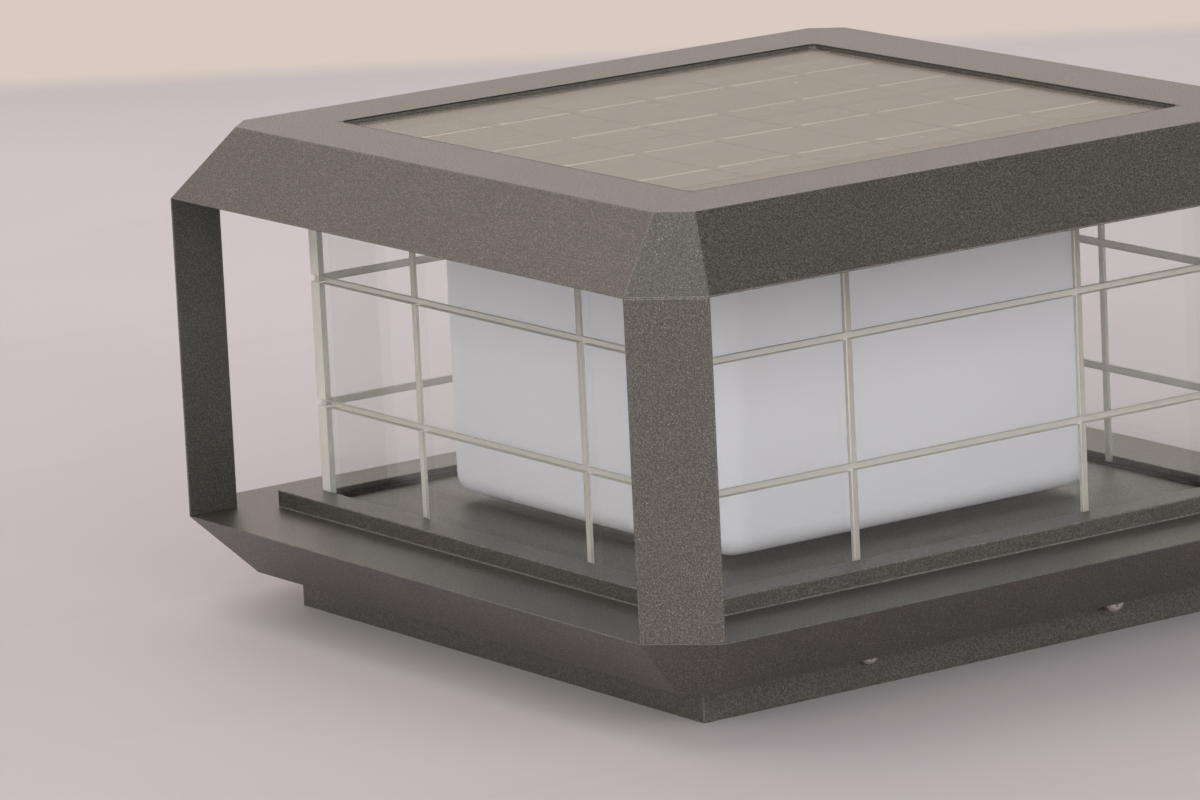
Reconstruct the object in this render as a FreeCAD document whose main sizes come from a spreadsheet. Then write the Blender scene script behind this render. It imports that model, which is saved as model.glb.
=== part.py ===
import FreeCAD, Part
import math
import os

import Sketcher
from FreeCAD import Placement, Rotation, Vector

# Deck post cap light: a cast tray with a collar that drops over a post, four corner posts,
# a cast cap with a solar panel sunk in its top, and a clear box round a milk-white diffuser.
# Millimetres, +Z up. The origin is the centre of the collar's foot, where the light rests.

SIZES = {
    # cast tray and cap: squares with their corners cut, bevelled to narrower octagons
    "body_width": 300.0,
    "corner_cut": 19.3,
    "cast_wall": 3.0,
    "tray_height": 21.4,
    "tray_inset": 20.1,
    "tray_low_cut": 9.0,
    "cap_height": 22.9,
    "cap_inset": 20.8,
    "cap_top_cut": 9.2,
    "cap_web": 4.0,
    # raised rim on the tray and the sunk floor that the clear box stands on
    "rim_setback": 29.6,
    "rim_height": 5.8,
    "floor_sink": 3.0,
    # collar that drops over the post
    "collar_setback": 34.4,
    "collar_wall": 3.0,
    "collar_show": 13.3,
    "flange_width": 10.0,
    "flange_thickness": 2.5,
    "flange_boss_height": 6.0,
    "boss_radius": 4.0,
    "flange_screw_spread": 120.0,
    # corner posts: triangular bars with a spigot at each end
    "post_height": 110.0,
    "spigot_length": 2.4,
    "spigot_leg": 8.0,
    "spigot_inset": 1.6,
    "spigot_clearance": 0.1,
    # clamp screws in the collar
    "clamp_spread": 100.0,
    "clamp_level": 11.5,
    "clamp_length": 10.0,
    "clamp_backed_out": 2.5,
    "insert_radius": 3.0,
    "insert_length": 6.5,
    "running_clearance": 0.05,
    # M4 and M3 pan heads
    "big_screw_radius": 2.0,
    "big_head_radius": 4.0,
    "big_head_height": 2.6,
    "small_screw_radius": 1.5,
    "small_head_radius": 2.75,
    "small_head_height": 2.0,
    "cross_width": 1.1,
    "cross_span": 4.4,
    "cross_depth": 1.5,
    # clear box: four grooved acrylic panels between two gaskets
    "rim_land": 10.75,
    "box_clearance": 0.3,
    "panel_thickness": 5.0,
    "panel_joint_gap": 0.05,
    "groove_width": 2.4,
    "groove_depth": 2.4,
    "groove_spread": 94.8,
    "groove_pitch": 43.0,
    "box_gasket": 1.0,
    "box_rise": 3.1,
    # milk-white diffuser hanging from the plate that closes the cap
    "diffuser_setback": 32.35,
    "diffuser_corner": 9.0,
    "diffuser_edge": 7.0,
    "diffuser_wall": 2.2,
    "diffuser_gap": 2.4,
    "lip_width": 8.5,
    "lip_thickness": 2.0,
    "lip_gasket": 0.6,
    "opening_clearance": 0.5,
    "chassis_screw_spread": 80.0,
    # plate that closes the cap from below
    "plate_thickness": 1.8,
    "plate_clearance": 0.8,
    "plate_screw_reach": 12.65,
    "plate_screw_spread": 120.0,
    "plate_screw_depth": 8.5,
    "chassis_thickness": 2.0,
    # solar panel, top to bottom
    "solar_border": 49.8,
    "solar_corner": 3.0,
    "solar_clearance": 0.7,
    "solar_sink": 1.5,
    "glass_thickness": 3.0,
    "glass_gap": 0.25,
    "ribbon_thickness": 0.1,
    "cell_thickness": 0.2,
    "backsheet_thickness": 0.8,
    "tape_thickness": 0.6,
    "tape_width": 8.0,
    "pan_thickness": 2.0,
    "cell_end_margin": 2.9,
    "cell_side_margin": 17.1,
    "cell_gap": 0.8,
    "ribbon_width": 1.2,
    "ribbon_pitch": 41.2,
    "ribbon_start": 4.6,
    # control box inside the diffuser
    "control_length": 108.0,
    "control_width": 78.0,
    "control_depth": 30.0,
    "control_wall": 2.0,
    "led_board_inset": 4.0,
    "board_thickness": 1.6,
    "led_length": 3.5,
    "led_width": 2.8,
    "led_height": 0.8,
    "led_pitch": 15.0,
    "battery_radius": 9.2,
    "battery_length": 65.0,
    "battery_clearance": 0.15,
    "holder_wall": 2.0,
    "holder_height": 13.0,
    "holder_gap": 0.3,
    "driver_length": 72.0,
    "driver_gap": 3.8,
    "driver_margin": 2.5,
    "standoff_height": 3.0,
    # leads, their grommets and the push switch under the rear eave
    "lead_radius": 1.5,
    "lead_bend": 6.0,
    "solar_lead_place": 22.0,
    "switch_lead_place": -22.0,
    "lead_hole_radius": 4.5,
    "grommet_lip": 1.2,
    "connector_height": 6.0,
    "switch_reach": 15.15,
    "switch_radius": 6.0,
    "bezel_radius": 7.5,
    "bezel_height": 1.5,
    "switch_length": 9.5,
    "switch_nut_across": 15.0,
    "switch_nut_height": 2.5,
    "button_radius": 4.2,
    "button_show": 2.5,
    "button_travel": 1.5,
    "button_seat": 5.0,
}

LED_COLUMNS = 6
LED_ROWS = 4
CELL_COLUMNS = 6
CELL_ROWS = 2
CORNER_SIGNS = ((-1, -1), (1, -1), (1, 1), (-1, 1))


class Size:
    """A length with the sheet expression that gives it, so that one formula sets both."""

    def __init__(self, text, value):
        self.text = text
        self.value = value

    @staticmethod
    def of(other):
        return other if isinstance(other, Size) else Size(repr(float(other)), float(other))

    def __add__(self, other):
        other = Size.of(other)
        return Size(f"({self.text} + {other.text})", self.value + other.value)

    def __sub__(self, other):
        other = Size.of(other)
        return Size(f"({self.text} - {other.text})", self.value - other.value)

    def __mul__(self, other):
        other = Size.of(other)
        return Size(f"({self.text} * {other.text})", self.value * other.value)

    def __truediv__(self, other):
        other = Size.of(other)
        return Size(f"({self.text} / {other.text})", self.value / other.value)

    def __neg__(self):
        return Size(f"(0 - {self.text})", -self.value)

    __radd__ = __add__
    __rmul__ = __mul__


def size(name):
    return Size(f"Sizes.{name}", SIZES[name])


def make_sheet(doc):
    sheet = doc.addObject("Spreadsheet::Sheet", "Sizes")
    for row, (name, value) in enumerate(SIZES.items(), start=1):
        sheet.set(f"A{row}", name)
        sheet.set(f"B{row}", str(value))
        sheet.setAlias(f"B{row}", name)
    doc.recompute()


# ---------------------------------------------------------------------------------------------
# Levels and half widths that several pieces share
# ---------------------------------------------------------------------------------------------

ZERO = Size.of(0)
HALF = size("body_width") / 2
POST_LINE = HALF - size("corner_cut")

TRAY_LOW = size("collar_show")
TRAY_TOP = TRAY_LOW + size("tray_height")
TRAY_CEILING = TRAY_TOP - size("cast_wall")
RIM_TOP = TRAY_TOP + size("rim_height")
FLOOR = RIM_TOP - size("floor_sink")
CAP_EDGE = TRAY_TOP + size("post_height")
CAP_TOP = CAP_EDGE + size("cap_height")
PLATE_LOW = CAP_EDGE + size("box_rise")
PLATE_TOP = PLATE_LOW + size("plate_thickness")

RIM_HALF = HALF - size("rim_setback")
RECESS_HALF = RIM_HALF - size("rim_land")
BOX_HALF = RECESS_HALF - size("box_clearance")
BOX_FOOT = FLOOR + size("box_gasket")
BOX_HEAD = PLATE_LOW - size("box_gasket")

DIFFUSER_HALF = BOX_HALF - size("diffuser_setback")
LIP_HALF = DIFFUSER_HALF + size("lip_width")
LIP_LOW = PLATE_TOP + size("lip_gasket")
LIP_TOP = LIP_LOW + size("lip_thickness")
CHASSIS_TOP = LIP_TOP + size("chassis_thickness")
CHASSIS_SCREW_LINE = DIFFUSER_HALF + size("lip_width") * 0.55

GLASS_TOP = CAP_TOP - size("solar_sink")
GLASS_LOW = GLASS_TOP - size("glass_thickness")
CELL_TOP = GLASS_LOW - size("glass_gap") - size("ribbon_thickness")
CELL_LOW = CELL_TOP - size("cell_thickness")
BACKSHEET_LOW = CELL_LOW - size("backsheet_thickness")
PAN_TOP = BACKSHEET_LOW - size("tape_thickness")
PAN_LOW = PAN_TOP - size("pan_thickness")
SOLAR_HALF = HALF - size("solar_border")
PANEL_HALF = SOLAR_HALF - size("solar_clearance")
CELL_LENGTH = (PANEL_HALF - size("cell_end_margin")) * 2 / CELL_COLUMNS
CELL_HEIGHT = (PANEL_HALF - size("cell_side_margin")) * 2 / CELL_ROWS

COLLAR_HALF = HALF - size("collar_setback")
COLLAR_INNER = COLLAR_HALF - size("collar_wall")
FLANGE_TOP = TRAY_CEILING - size("flange_boss_height")
FLANGE_LOW = FLANGE_TOP - size("flange_thickness")
FLANGE_LINE = COLLAR_HALF + size("flange_width") / 2

CONTROL_LOW = LIP_TOP - size("control_depth")
CONTROL_FLOOR = CONTROL_LOW + size("control_wall")
LED_BOARD_LOW = CONTROL_LOW - size("board_thickness")
DRIVER_LOW = CONTROL_FLOOR + size("standoff_height")
DRIVER_TOP = DRIVER_LOW + size("board_thickness")
CONNECTOR_TOP = DRIVER_TOP + size("connector_height")

BATTERY_BORE = size("battery_radius") + size("battery_clearance")
BATTERY_LEVEL = CONTROL_FLOOR + size("holder_wall") + BATTERY_BORE
HOLDER_FRONT = size("control_wall") + size("holder_gap") - size("control_width") / 2
HOLDER_REAR = HOLDER_FRONT + BATTERY_BORE * 4 + size("holder_wall") * 3
DRIVER_FRONT = HOLDER_REAR + size("driver_gap")
DRIVER_REAR = size("control_width") / 2 - size("control_wall") - size("driver_margin")
DRIVER_CENTRE = (DRIVER_FRONT + DRIVER_REAR) / 2

PLATE_SCREW_LINE = BOX_HALF + size("plate_screw_reach")
SWITCH_PLACE = BOX_HALF + size("switch_reach")
SWITCH_FACE = PLATE_LOW - size("bezel_height")
LEAD_LEVEL = CHASSIS_TOP + (PAN_LOW - CHASSIS_TOP) / 2


def narrowing(outset, height, wall):
    """How far a sloped wall's inner skin stands in from its outer one, measured level."""
    slope = math.hypot(outset.value, height.value)
    text = f"({wall.text} * sqrt({outset.text}^2 + {height.text}^2) / {height.text})"
    return Size(text, wall.value * slope / height.value)


# ---------------------------------------------------------------------------------------------
# Sketch outlines
# ---------------------------------------------------------------------------------------------


def square(half):
    return rectangle(-half, -half, half, half)


def rectangle(left, low, right, high):
    return ("polygon", [(left, low), (right, low), (right, high), (left, high)])


def octagon(half, cut):
    """A square of the given half width with its corners cut off at 45 degrees."""
    near = half - cut
    points = [(near, -half), (half, -near), (half, near), (near, half)]
    points += [(-near, half), (-half, near), (-half, -near), (-near, -half)]
    return ("polygon", points)


def circle(x, y, radius):
    return ("circle", (Size.of(x), Size.of(y)), radius)


def rounded(half_x, half_y, radius):
    return ("rounded", (half_x, half_y), radius)


def four_ways(along, across):
    """Eight places on a square ring: two on each side, along the side and out from the middle."""
    places = []
    for sign in (-1, 1):
        for side in (-1, 1):
            places.append((along * sign, across * side))
            places.append((across * side, along * sign))
    return places


class Piece:
    """One sub-part: a body, with short calls for the features that make it."""

    def __init__(self, doc, label):
        self.doc = doc
        self.body = doc.addObject("PartDesign::Body", label)
        self.body.Label = label
        self.body.AllowCompound = True
        self.count = 0

    def plane(self, role):
        return next(f for f in self.body.Origin.OriginFeatures if f.Role == role)

    def feature(self, kind, name):
        self.count += 1
        return self.body.newObject(kind, f"{name}{self.count}")

    def sketch(self, level, *outlines, role="XY_Plane"):
        sketch = self.feature("Sketcher::SketchObject", "Outline")
        sketch.AttachmentSupport = [(self.plane(role), "")]
        sketch.MapMode = "FlatFace"
        sketch.AttachmentOffset = Placement(Vector(0, 0, level.value), Rotation())
        sketch.setExpression("AttachmentOffset.Base.z", level.text)
        for kind, places, *rest in outlines:
            if kind == "polygon":
                add_polygon(sketch, places)
            elif kind == "circle":
                add_circle(sketch, places, rest[0])
            else:
                add_rounded(sketch, places, rest[0])
        sketch.Visibility = False
        return sketch

    def pad(self, level, height, *outlines, role="XY_Plane"):
        pad = self.feature("PartDesign::Pad", "Pad")
        pad.Profile = self.sketch(level, *outlines, role=role)
        pad.setExpression("Length", height.text)
        self.doc.recompute()
        return pad

    def pocket(self, level, depth, *outlines, role="XY_Plane"):
        """Cuts from the level downwards, against the sketch plane's own direction."""
        before = self.body.Shape.Volume
        pocket = self.feature("PartDesign::Pocket", "Pocket")
        pocket.Profile = self.sketch(level, *outlines, role=role)
        pocket.setExpression("Length", depth.text)
        self.doc.recompute()
        assert self.body.Shape.Volume < before, f"{self.body.Label}: a pocket cut nothing"
        return pocket

    def loft(self, kind, low, low_outline, high, high_outline):
        loft = self.feature(f"PartDesign::{kind}", "Loft")
        loft.Profile = self.sketch(low, low_outline)
        loft.Sections = [self.sketch(high, high_outline)]
        loft.Ruled = True
        self.doc.recompute()
        return loft

    def round_edges(self, radius, wanted, kind="Fillet"):
        """Fillets or chamfers the edges that the test picks out by their two ends."""
        base = self.body.Tip
        names = []
        for number, edge in enumerate(base.Shape.Edges, start=1):
            if wanted(edge):
                names.append(f"Edge{number}")
        assert names, f"{self.body.Label}: no edge to round"
        rounding = self.feature(f"PartDesign::{kind}", kind)
        rounding.Base = (base, names)
        rounding.setExpression("Radius" if kind == "Fillet" else "Size", radius.text)
        self.doc.recompute()
        return rounding

    def turn(self, degrees):
        self.body.Placement = Placement(Vector(0, 0, 0), Rotation(Vector(0, 0, 1), degrees))


def pin_point(sketch, geometry, end, place):
    """Ties one end or centre of a sketch's geometry to two bound distances from the origin."""
    for kind, length in zip(("DistanceX", "DistanceY"), place):
        number = sketch.addConstraint(
            Sketcher.Constraint(kind, -1, 1, geometry, end, length.value)
        )
        sketch.setExpression(f"Constraints[{number}]", length.text)


def add_polygon(sketch, places):
    corners = [Vector(x.value, y.value, 0) for x, y in places]
    count = len(corners)
    first = sketch.GeometryCount
    for number in range(count):
        after = corners[(number + 1) % count]
        sketch.addGeometry(Part.LineSegment(corners[number], after))
    for number in range(count):
        after = first + (number + 1) % count
        sketch.addConstraint(Sketcher.Constraint("Coincident", first + number, 2, after, 1))
    for number, place in enumerate(places):
        pin_point(sketch, first + number, 1, place)


def add_circle(sketch, place, radius):
    centre = Vector(place[0].value, place[1].value, 0)
    number = sketch.addGeometry(Part.Circle(centre, Vector(0, 0, 1), radius.value))
    pin_point(sketch, number, 3, place)
    rule = sketch.addConstraint(Sketcher.Constraint("Radius", number, radius.value))
    sketch.setExpression(f"Constraints[{rule}]", radius.text)


def add_rounded(sketch, halves, radius):
    """A rectangle about the origin with a quarter circle at each corner."""
    first = sketch.GeometryCount
    ends = []
    for sign_x, sign_y in CORNER_SIGNS:
        side = (halves[0] * sign_x, (halves[1] - radius) * sign_y)
        end = ((halves[0] - radius) * sign_x, halves[1] * sign_y)
        ends.append((side, end) if sign_x == sign_y else (end, side))
    for number, (arrive, leave) in enumerate(ends):
        centre = Vector((halves[0] - radius).value, (halves[1] - radius).value, 0)
        centre.x *= CORNER_SIGNS[number][0]
        centre.y *= CORNER_SIGNS[number][1]
        start = math.pi + number * math.pi / 2
        ring = Part.Circle(centre, Vector(0, 0, 1), radius.value)
        sketch.addGeometry(Part.ArcOfCircle(ring, start, start + math.pi / 2))
        following = ends[(number + 1) % len(ends)][0]
        tail = Vector(leave[0].value, leave[1].value, 0)
        head = Vector(following[0].value, following[1].value, 0)
        sketch.addGeometry(Part.LineSegment(tail, head))
    count = 2 * len(ends)
    for number in range(count):
        after = first + (number + 1) % count
        sketch.addConstraint(Sketcher.Constraint("Coincident", first + number, 2, after, 1))
    for number, (arrive, leave) in enumerate(ends):
        arc = first + 2 * number
        pin_point(sketch, arc, 1, arrive)
        pin_point(sketch, arc, 2, leave)
        rule = sketch.addConstraint(Sketcher.Constraint("Radius", arc, radius.value))
        sketch.setExpression(f"Constraints[{rule}]", radius.text)


def level_edge(level):
    """Picks the edges that lie at one height."""
    return lambda edge: all(abs(v.Z - level.value) < 1e-4 for v in edge.Vertexes)


# ---------------------------------------------------------------------------------------------
# Primitive solids, placed and sized by the sheet
# ---------------------------------------------------------------------------------------------


def place(item, x, y, z):
    for axis, length in zip("xyz", (x, y, z)):
        item.setExpression(f"Placement.Base.{axis}", Size.of(length).text)


def box(doc, name, corner, extent):
    item = doc.addObject("Part::Box", name)
    for prop, length in zip(("Length", "Width", "Height"), extent):
        item.setExpression(prop, Size.of(length).text)
    place(item, *corner)
    return item


def cylinder(doc, name, base, radius, height, axis="Z"):
    item = doc.addObject("Part::Cylinder", name)
    item.setExpression("Radius", radius.text)
    item.setExpression("Height", height.text)
    if axis == "X":
        item.Placement = Placement(Vector(), Rotation(Vector(0, 1, 0), 90))
    place(item, *base)
    return item


def fused(doc, label, items):
    item = doc.addObject("Part::MultiFuse", label)
    item.Label = label
    item.Shapes = items
    return item


def grouped(doc, label, items):
    """Separate solids of one kind, kept apart in one sub-part."""
    item = doc.addObject("Part::Compound", label)
    item.Label = label
    item.Links = items
    return item


def cut(doc, label, base, tool):
    item = doc.addObject("Part::Cut", label)
    item.Label = label
    item.Base = base
    item.Tool = tool
    return item


# ---------------------------------------------------------------------------------------------
# Tray, collar and posts
# ---------------------------------------------------------------------------------------------


def tray_skin(level, inward):
    """The tray's outer octagon at a level, drawn in by a margin."""
    rise = (level - TRAY_LOW) / size("tray_height")
    half = HALF - size("tray_inset") + size("tray_inset") * rise - inward
    widening = size("corner_cut") - size("tray_low_cut")
    corner = size("tray_low_cut") + widening * rise - inward * (2 - math.sqrt(2))
    return octagon(half, corner)


def spigot_outline(clearance):
    """The right triangle that a post's end enters, near the post's inner edge."""
    near = POST_LINE + size("spigot_inset") - clearance
    far = near + size("spigot_leg") + clearance * 3
    return ("polygon", [(-near, -near), (-far, -near), (-near, -far)])


def spigot_sockets(signs=CORNER_SIGNS):
    """The same triangle at all four corners."""
    outlines = []
    kind, corners = spigot_outline(size("spigot_clearance"))
    for sign_x, sign_y in signs:
        outlines.append((kind, [(x * -sign_x, y * -sign_y) for x, y in corners]))
    return outlines


def base_tray(doc):
    tray = Piece(doc, "base_tray")
    tray.loft("AdditiveLoft", TRAY_LOW, tray_skin(TRAY_LOW, ZERO), TRAY_TOP, tray_skin(TRAY_TOP, ZERO))
    tray.pad(TRAY_TOP, size("rim_height"), square(RIM_HALF))
    tray.pocket(RIM_TOP, size("floor_sink"), square(RECESS_HALF))
    wall = narrowing(size("tray_inset"), size("tray_height"), size("cast_wall"))
    tray.loft(
        "SubtractiveLoft",
        TRAY_LOW,
        tray_skin(TRAY_LOW, wall),
        TRAY_CEILING,
        tray_skin(TRAY_CEILING, wall),
    )
    # the floor keeps the cast wall's thickness inside the ledge that the collar bears on
    ledge = COLLAR_INNER - size("collar_wall")
    ceiling = FLOOR - size("cast_wall")
    tray.pocket(ceiling, ceiling - TRAY_CEILING, square(ledge))
    screws = four_ways(size("flange_screw_spread") / 2, FLANGE_LINE)
    bosses = [circle(x, y, size("boss_radius")) for x, y in screws]
    tray.pad(FLANGE_TOP, size("flange_boss_height"), *bosses)
    bore = size("big_screw_radius") + size("running_clearance")
    bores = [circle(x, y, bore) for x, y in screws]
    tray.pocket(TRAY_CEILING, size("flange_boss_height"), *bores)
    tray.pocket(TRAY_TOP, size("spigot_length") + size("spigot_clearance"), *spigot_sockets())
    return tray.body


def mounting_collar(doc):
    """A square sheet collar with an outward flange that screws up under the tray."""
    collar = Piece(doc, "mounting_collar")
    collar.pad(ZERO, TRAY_CEILING, square(COLLAR_HALF), square(COLLAR_INNER))
    flange = square(COLLAR_HALF + size("flange_width"))
    collar.pad(FLANGE_LOW, size("flange_thickness"), flange, square(COLLAR_INNER))
    bore = size("big_screw_radius") + size("running_clearance")
    screws = four_ways(size("flange_screw_spread") / 2, FLANGE_LINE)
    collar.pocket(FLANGE_TOP, size("flange_thickness"), *[circle(x, y, bore) for x, y in screws])
    # clamp inserts pass through the front and rear walls
    inserts = []
    for side in (-1, 1):
        across = size("clamp_spread") / 2 * side
        inserts.append(circle(across, size("clamp_level"), size("insert_radius")))
    for reach in (COLLAR_HALF, -COLLAR_INNER):
        collar.pocket(reach, size("collar_wall"), *inserts, role="XZ_Plane")
    return collar.body


def pan_screws(doc, label, places, head, seat, length, cross=False):
    """Screws with their shanks up: pan heads with a cross recess, or plain chamfered heads."""
    radius, head_radius, head_height = head
    screws = Piece(doc, label)
    screws.pad(seat - head_height, head_height, *[circle(x, y, head_radius) for x, y in places])
    if cross:
        screws.round_edges(head_height * 0.55, level_edge(seat - head_height))
    else:
        screws.round_edges(head_height * 0.4, level_edge(seat - head_height), kind="Chamfer")
    screws.pad(seat, length, *[circle(x, y, radius) for x, y in places])
    if cross:
        reach = size("cross_span") / 2
        arm = size("cross_width") / 2
        outline = [(-reach, -arm), (-arm, -arm), (-arm, -reach), (arm, -reach)]
        outline += [(arm, -arm), (reach, -arm), (reach, arm), (arm, arm)]
        outline += [(arm, reach), (-arm, reach), (-arm, arm), (-reach, arm)]
        recess_floor = seat - head_height + size("cross_depth")
        screws.pocket(recess_floor, size("cross_depth"), ("polygon", outline))
        screws.round_edges(radius * 0.3, level_edge(seat + length), kind="Chamfer")
    return screws.body


BIG_HEAD = (size("big_screw_radius"), size("big_head_radius"), size("big_head_height"))
SMALL_HEAD = (size("small_screw_radius"), size("small_head_radius"), size("small_head_height"))


def flange_screws(doc):
    places = four_ways(size("flange_screw_spread") / 2, FLANGE_LINE)
    length = size("flange_thickness") + size("flange_boss_height") - size("big_screw_radius") / 4
    return pan_screws(doc, "flange_screws", places, BIG_HEAD, FLANGE_LOW, length)


def clamp_insert(doc, label, side, facing):
    """A flanged threaded insert set through the collar wall, its flange inside."""
    insert = Piece(doc, label)
    bore = circle(0, 0, size("big_screw_radius") + size("running_clearance"))
    insert.pad(ZERO, size("insert_length"), circle(0, 0, size("insert_radius")), bore)
    flange = size("insert_radius") + size("big_screw_radius") / 2
    insert.pad(size("collar_wall"), size("collar_wall") / 2, circle(0, 0, flange), bore)
    stand_in_collar(insert.body, side, facing, ZERO)
    return insert.body


def stand_in_collar(body, side, facing, back):
    """Lays a body built along +Z into the collar's front or rear wall, pointing inwards."""
    turned = Rotation(Vector(1, 0, 0), 90 * facing)
    body.Placement = Placement(Vector(), turned)
    across = size("clamp_spread") / 2 * side
    place(body, across, (COLLAR_HALF + back) * facing, size("clamp_level"))


def clamp_screw(doc, label, side, facing, back):
    middle = [(ZERO, ZERO)]
    body = pan_screws(doc, label, middle, BIG_HEAD, ZERO, size("clamp_length"), cross=True)
    stand_in_collar(body, side, facing, back)
    return body


def corner_post(doc, label, degrees):
    """A solid triangular bar, its wide face outwards, with a spigot at each end."""
    post = Piece(doc, label)
    section = [(-HALF, -POST_LINE), (-POST_LINE, -POST_LINE), (-POST_LINE, -HALF)]
    post.pad(TRAY_TOP, size("post_height"), ("polygon", section))
    post.pad(TRAY_TOP - size("spigot_length"), size("spigot_length"), spigot_outline(ZERO))
    post.pad(CAP_EDGE, size("spigot_length"), spigot_outline(ZERO))
    post.turn(degrees)
    return post.body


# ---------------------------------------------------------------------------------------------
# Cap, its closing plate and the clear box
# ---------------------------------------------------------------------------------------------


def cap_skin(level, inward):
    """The cap's outer octagon at a level, drawn in by a margin."""
    rise = (level - CAP_EDGE) / size("cap_height")
    half = HALF - size("cap_inset") * rise - inward
    narrowing_cut = size("corner_cut") - size("cap_top_cut")
    corner = size("corner_cut") - narrowing_cut * rise - inward * (2 - math.sqrt(2))
    return octagon(half, corner)


def cap_hollow(level, wall):
    """The hollow beside the corner webs: a post seats on each web."""
    rise = (level - CAP_EDGE) / size("cap_height")
    half = HALF - size("cap_inset") * rise - wall
    return octagon(half, (half - POST_LINE) * 2 + size("spigot_inset"))


def top_cap(doc):
    """A hollow cast cap: webs over the posts, bosses for the plate and a pan for the panel."""
    cap = Piece(doc, "top_cap")
    cap.loft("AdditiveLoft", CAP_EDGE, cap_skin(CAP_EDGE, ZERO), CAP_TOP, cap_skin(CAP_TOP, ZERO))
    wall = narrowing(size("cap_inset"), size("cap_height"), size("cast_wall"))
    web = CAP_EDGE + size("cap_web")
    ceiling = CAP_TOP - size("cast_wall")
    cap.loft("SubtractiveLoft", CAP_EDGE, cap_hollow(CAP_EDGE, wall), web, cap_hollow(web, wall))
    cap.loft("SubtractiveLoft", web, cap_skin(web, wall), ceiling, cap_skin(ceiling, wall))
    pan = SOLAR_HALF + size("pan_thickness")
    corner = size("solar_corner")
    opening = rounded(SOLAR_HALF, SOLAR_HALF, corner)
    cap.pad(PAN_LOW, ceiling - PAN_LOW, rounded(pan, pan, corner + size("pan_thickness")))
    cap.pocket(CAP_TOP, CAP_TOP - PAN_TOP, opening)
    lead = size("solar_lead_place")
    hole = size("lead_hole_radius")
    cap.pocket(PAN_TOP, size("pan_thickness"), circle(lead, lead, hole))
    screws = four_ways(size("plate_screw_spread") / 2, PLATE_SCREW_LINE)
    cap.pad(PLATE_TOP, ceiling - PLATE_TOP, *[circle(x, y, size("boss_radius")) for x, y in screws])
    bore = size("small_screw_radius") + size("running_clearance")
    depth = size("plate_screw_depth")
    cap.pocket(PLATE_TOP + depth, depth, *[circle(x, y, bore) for x, y in screws])
    sockets = spigot_sockets()
    reach = size("spigot_length") + size("spigot_clearance")
    cap.pocket(CAP_EDGE + reach, reach, *sockets)
    return cap.body


def cap_plate(doc):
    """The sheet that closes the cap, with the diffuser's opening and the switch's hole."""
    plate = Piece(doc, "cap_plate")
    wall = narrowing(size("cap_inset"), size("cap_height"), size("cast_wall"))
    rise = (PLATE_TOP - CAP_EDGE) / size("cap_height")
    half = HALF - size("cap_inset") * rise - wall - size("plate_clearance")
    corner = (half - POST_LINE) * 2 + size("spigot_inset") + size("plate_clearance") * 2
    opening = DIFFUSER_HALF + size("opening_clearance")
    outlines = [octagon(half, corner)]
    outlines.append(rounded(opening, opening, size("diffuser_corner") + size("opening_clearance")))
    plate.pad(PLATE_LOW, size("plate_thickness"), *outlines)
    bore = size("small_screw_radius") + size("running_clearance")
    holes = four_ways(size("plate_screw_spread") / 2, PLATE_SCREW_LINE)
    holes += four_ways(size("chassis_screw_spread") / 2, CHASSIS_SCREW_LINE)
    plate.pocket(PLATE_TOP, size("plate_thickness"), *[circle(x, y, bore) for x, y in holes])
    barrel = size("switch_radius") + size("running_clearance") * 2
    plate.pocket(PLATE_TOP, size("plate_thickness"), circle(0, SWITCH_PLACE, barrel))
    return plate.body


def plate_screws(doc):
    places = four_ways(size("plate_screw_spread") / 2, PLATE_SCREW_LINE)
    length = size("plate_thickness") + size("plate_screw_depth") - size("small_screw_radius")
    return pan_screws(doc, "plate_screws", places, SMALL_HEAD, PLATE_LOW, length)


def box_gasket(doc, label, level):
    """A flat square ring under or over the edges of the clear panels."""
    gasket = Piece(doc, label)
    inner = BOX_HALF - size("panel_thickness")
    gasket.pad(level, size("box_gasket"), square(BOX_HALF), square(inner))
    return gasket.body


def clear_panel(doc, label, half_length, degrees):
    """A thick acrylic plate with two upright and two level grooves in its outer face."""
    panel = Piece(doc, label)
    face = -BOX_HALF
    bottom = face + size("groove_depth")
    arm = size("groove_width") / 2
    outline = [(-half_length, face)]
    for side in (-1, 1):
        centre = size("groove_spread") / 2 * side
        outline += [(centre - arm, face), (centre - arm, bottom)]
        outline += [(centre + arm, bottom), (centre + arm, face)]
    back = face + size("panel_thickness")
    outline += [(half_length, face), (half_length, back), (-half_length, back)]
    panel.pad(BOX_FOOT, BOX_HEAD - BOX_FOOT, ("polygon", outline))
    middle = (BOX_FOOT + BOX_HEAD) / 2
    for side in (-1, 1):
        top = middle + size("groove_pitch") / 2 * side + arm
        panel.pocket(top, size("groove_width"), rectangle(-half_length, face, half_length, bottom))
    panel.turn(degrees)
    return panel.body


# ---------------------------------------------------------------------------------------------
# Diffuser and what closes it
# ---------------------------------------------------------------------------------------------


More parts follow.
